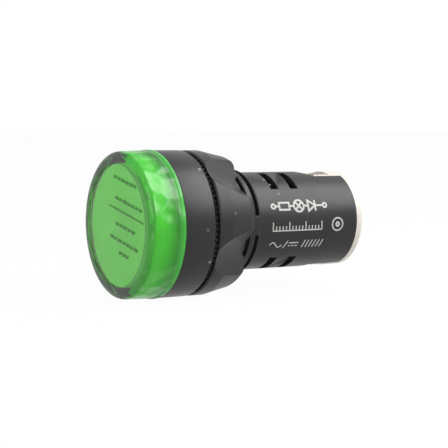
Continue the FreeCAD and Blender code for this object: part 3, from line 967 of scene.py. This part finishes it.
def paper_floor(colours):
    """Paper sweep: a matt white that almost vanishes into the background and keeps a faint shadow."""
    white_share = 0.97
    made, tree, sockets, place = material("paper_floor", colours.floor, Roughness=0.9)
    # The fibres are drawn coarser than they are, so that they show
    normal = uneven(tree, place, size_mm=0.6, depth_mm=0.02)
    tree.links.new(normal, sockets["Normal"])
    glow = add(tree, "ShaderNodeEmission", {"Strength": 1.0})["Emission"]
    share = add(tree, "ShaderNodeMapRange", {"Value": direct_view(tree), "To Max": white_share})["Result"]
    shader = tree.nodes["Principled BSDF"].outputs["BSDF"]
    blend = add(tree, "ShaderNodeMixShader", {0: share, 1: shader, 2: glow})["Shader"]
    tree.links.new(blend, tree.nodes["Material Output"].inputs["Surface"])
    return made


def lay_floor(colours):
    """Lays a flat sheet just under the light."""
    half_width = 1.5
    gap = 0.02 * MM
    mesh = bmesh.new()
    bmesh.ops.create_grid(mesh, x_segments=4, y_segments=4, size=half_width)
    data = bpy.data.meshes.new("floor")
    mesh.to_mesh(data)
    mesh.free()
    data.materials.append(paper_floor(colours))
    floor = bpy.data.objects.new("floor", data)
    floor.location = (0, 0, FLOOR_Z - gap)
    bpy.context.scene.collection.objects.link(floor)


def softbox(name, place, aim, width, depth, radiance):
    """A rectangular lamp that faces a point. Its power follows from how bright its face is."""
    lamp = bpy.data.lights.new(name, "AREA")
    lamp.shape = "RECTANGLE"
    lamp.size = width
    lamp.size_y = depth
    lamp.energy = radiance * math.pi * width * depth
    made = bpy.data.objects.new(name, lamp)
    made.location = place
    made.rotation_mode = "QUATERNION"
    made.rotation_quaternion = (Vector(place) - Vector(aim)).to_track_quat("Z", "Y")
    bpy.context.scene.collection.objects.link(made)


def white_studio():
    """A world that looks white, and lights the object more dimly than that."""
    ambient = 0.40
    world = bpy.data.worlds.new("white_studio")
    world.use_nodes = True
    tree = world.node_tree
    background = tree.nodes["Background"]
    background.inputs["Color"].default_value = (1, 1, 1, 1)
    strength = add(tree, "ShaderNodeMapRange", {"Value": direct_view(tree), "To Min": ambient})["Result"]
    tree.links.new(strength, background.inputs["Strength"])
    return world


def photo_camera(sizes):
    """A camera at the photograph's viewing angle."""
    target = Vector((0.33, 7.86, -0.35)) * MM
    level = math.cos(sizes.elevation)
    back = Vector((math.sin(sizes.azimuth) * level, -math.cos(sizes.azimuth) * level,
                   math.sin(sizes.elevation)))
    data = bpy.data.cameras.new("camera")
    data.angle = sizes.field_of_view
    data.clip_start = 0.01
    camera = bpy.data.objects.new("camera", data)
    camera.location = target + back * sizes.distance
    camera.rotation_mode = "QUATERNION"
    camera.rotation_quaternion = back.to_track_quat("Z", "Y") @ Quaternion((0, 0, 1), -sizes.roll)
    bpy.context.scene.collection.objects.link(camera)
    return camera


class PILOTLIGHT_OT_stage(Operator):
    """Build the floor, the lamps, the background and the camera"""
    bl_idname = "pilot_light.stage"
    bl_label = "Stage"

    def execute(self, context):
        scene = context.scene
        look = scene.pilot_light
        lay_floor(look.colours)
        softbox("softbox_above", (0.125, 0.165, 0.215), MIDDLE, width=0.26, depth=0.26, radiance=6.2)
        softbox("softbox_front", (0.10, -0.34, 0.10), MIDDLE, width=0.30, depth=0.30, radiance=2.0)
        scene.world = white_studio()
        scene.camera = photo_camera(look.sizes)
        scene.view_settings.view_transform = "Standard"
        return {"FINISHED"}


OPERATORS = (
    PILOTLIGHT_OT_lens,
    PILOTLIGHT_OT_film,
    PILOTLIGHT_OT_mouldings,
    PILOTLIGHT_OT_body_print,
    PILOTLIGHT_OT_terminals,
    PILOTLIGHT_OT_electronics,
    PILOTLIGHT_OT_stage,
)


class PILOTLIGHT_PT_panel(Panel):
    """Lists the steps, the colours and the sizes"""
    bl_idname = "PILOTLIGHT_PT_panel"
    bl_label = "Pilot Light"
    bl_space_type = "VIEW_3D"
    bl_region_type = "UI"
    bl_category = "Pilot Light"

    def draw(self, context):
        look = context.scene.pilot_light
        for step in OPERATORS:
            self.layout.operator(step.bl_idname)
        for group in (look.colours, look.sizes):
            for name in group.__annotations__:
                self.layout.prop(group, name)


CLASSES = (PilotLightColours, PilotLightSizes, PilotLight, *OPERATORS, PILOTLIGHT_PT_panel)


def register():
    """Adds the classes to Blender, and the light's colours and sizes to each scene."""
    for kind in CLASSES:
        bpy.utils.register_class(kind)
    bpy.types.Scene.pilot_light = PointerProperty(type=PilotLight)


def unregister():
    """Takes away what register added."""
    del bpy.types.Scene.pilot_light
    for kind in reversed(CLASSES):
        bpy.utils.unregister_class(kind)


def main():
    """Registers the classes and runs every step."""
    register()
    for step in OPERATORS:
        group, name = step.bl_idname.split(".")
        getattr(getattr(bpy.ops, group), name)()


if __name__ == "__main__":
    main()
